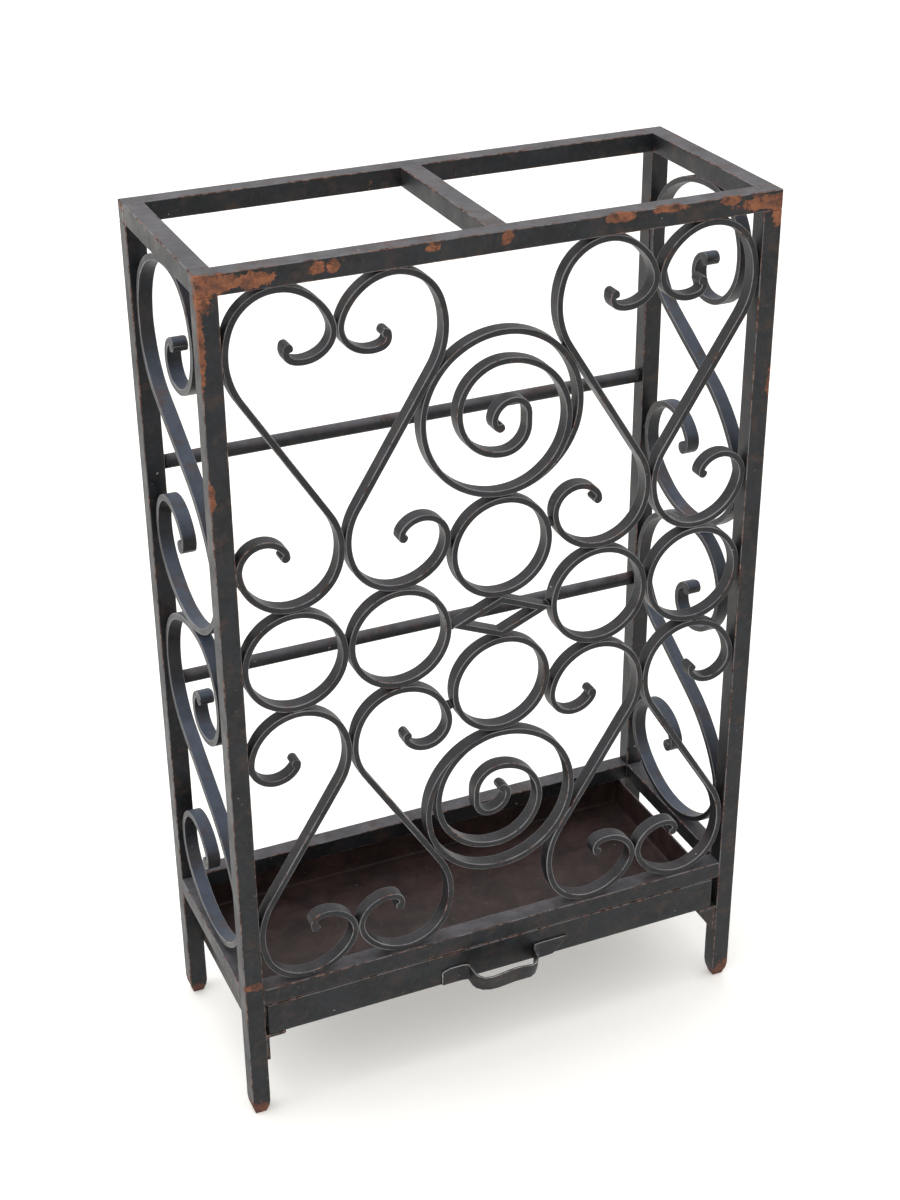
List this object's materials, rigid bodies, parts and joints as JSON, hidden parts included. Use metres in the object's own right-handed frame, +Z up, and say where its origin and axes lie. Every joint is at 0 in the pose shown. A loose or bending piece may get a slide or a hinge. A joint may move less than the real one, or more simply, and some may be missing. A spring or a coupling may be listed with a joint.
{
  "type": "umbrella stand",
  "caption": "Tall open iron umbrella stand with scrollwork front and sides, a divided top frame and a drip tray that slides out at the front.",
  "frame": {"origin": "middle of the footprint on the floor, the pull included", "axes": "+Z up, -Y out of the scrollwork front that the tray slides towards, +X to the right seen from the front"},
  "size_m": [0.47, 0.2214, 0.76],
  "materials": {
    "black_iron": "black paint over forged bar, satin, worn and chipped to brown rust",
    "worn_iron": "black paint rubbed thin, brown rust showing through",
    "rusty_sheet": "old black paint on sheet, dark red-brown rust inside"
  },
  "bodies": {
    "frame": {"post_front_left": "black_iron", "post_front_right": "black_iron", "post_back_left": "black_iron", "post_back_right": "black_iron", "top_rail_front": "black_iron", "top_rail_back": "black_iron", "top_rail_left": "black_iron", "top_rail_right": "black_iron", "top_divider": "black_iron", "base_rail_front": "black_iron", "base_rail_back": "black_iron", "base_rail_left": "black_iron", "base_rail_right": "black_iron", "back_rod_high": "black_iron", "back_rod_low": "black_iron", "runner_left": "worn_iron", "runner_right": "worn_iron", "scroll_a_high": "black_iron", "scroll_b_high": "black_iron", "scroll_d_high": "black_iron", "scroll_e_high": "black_iron", "scroll_a_low": "black_iron", "scroll_b_low": "black_iron", "scroll_d_low": "black_iron", "scroll_e_low": "black_iron", "ring_a": "black_iron", "ring_b": "black_iron", "ring_d": "black_iron", "ring_e": "black_iron", "ring_c_high": "black_iron", "ring_c_low": "black_iron", "spiral_high": "black_iron", "spiral_low": "black_iron", "diamond": "black_iron", "side_scroll_left_high": "black_iron", "side_scroll_left_low": "black_iron", "side_scroll_right_high": "black_iron", "side_scroll_right_low": "black_iron", "welds_front": "worn_iron", "welds_side": "worn_iron"},
    "tray": {"tray_pan": "rusty_sheet", "tray_pull": "worn_iron"}
  },
  "joints": [
    {"name": "tray_slide", "type": "slide", "parent": "frame", "child": "tray", "axis": [0, -1, 0], "range_m": [0, 0.2]}
  ]
}
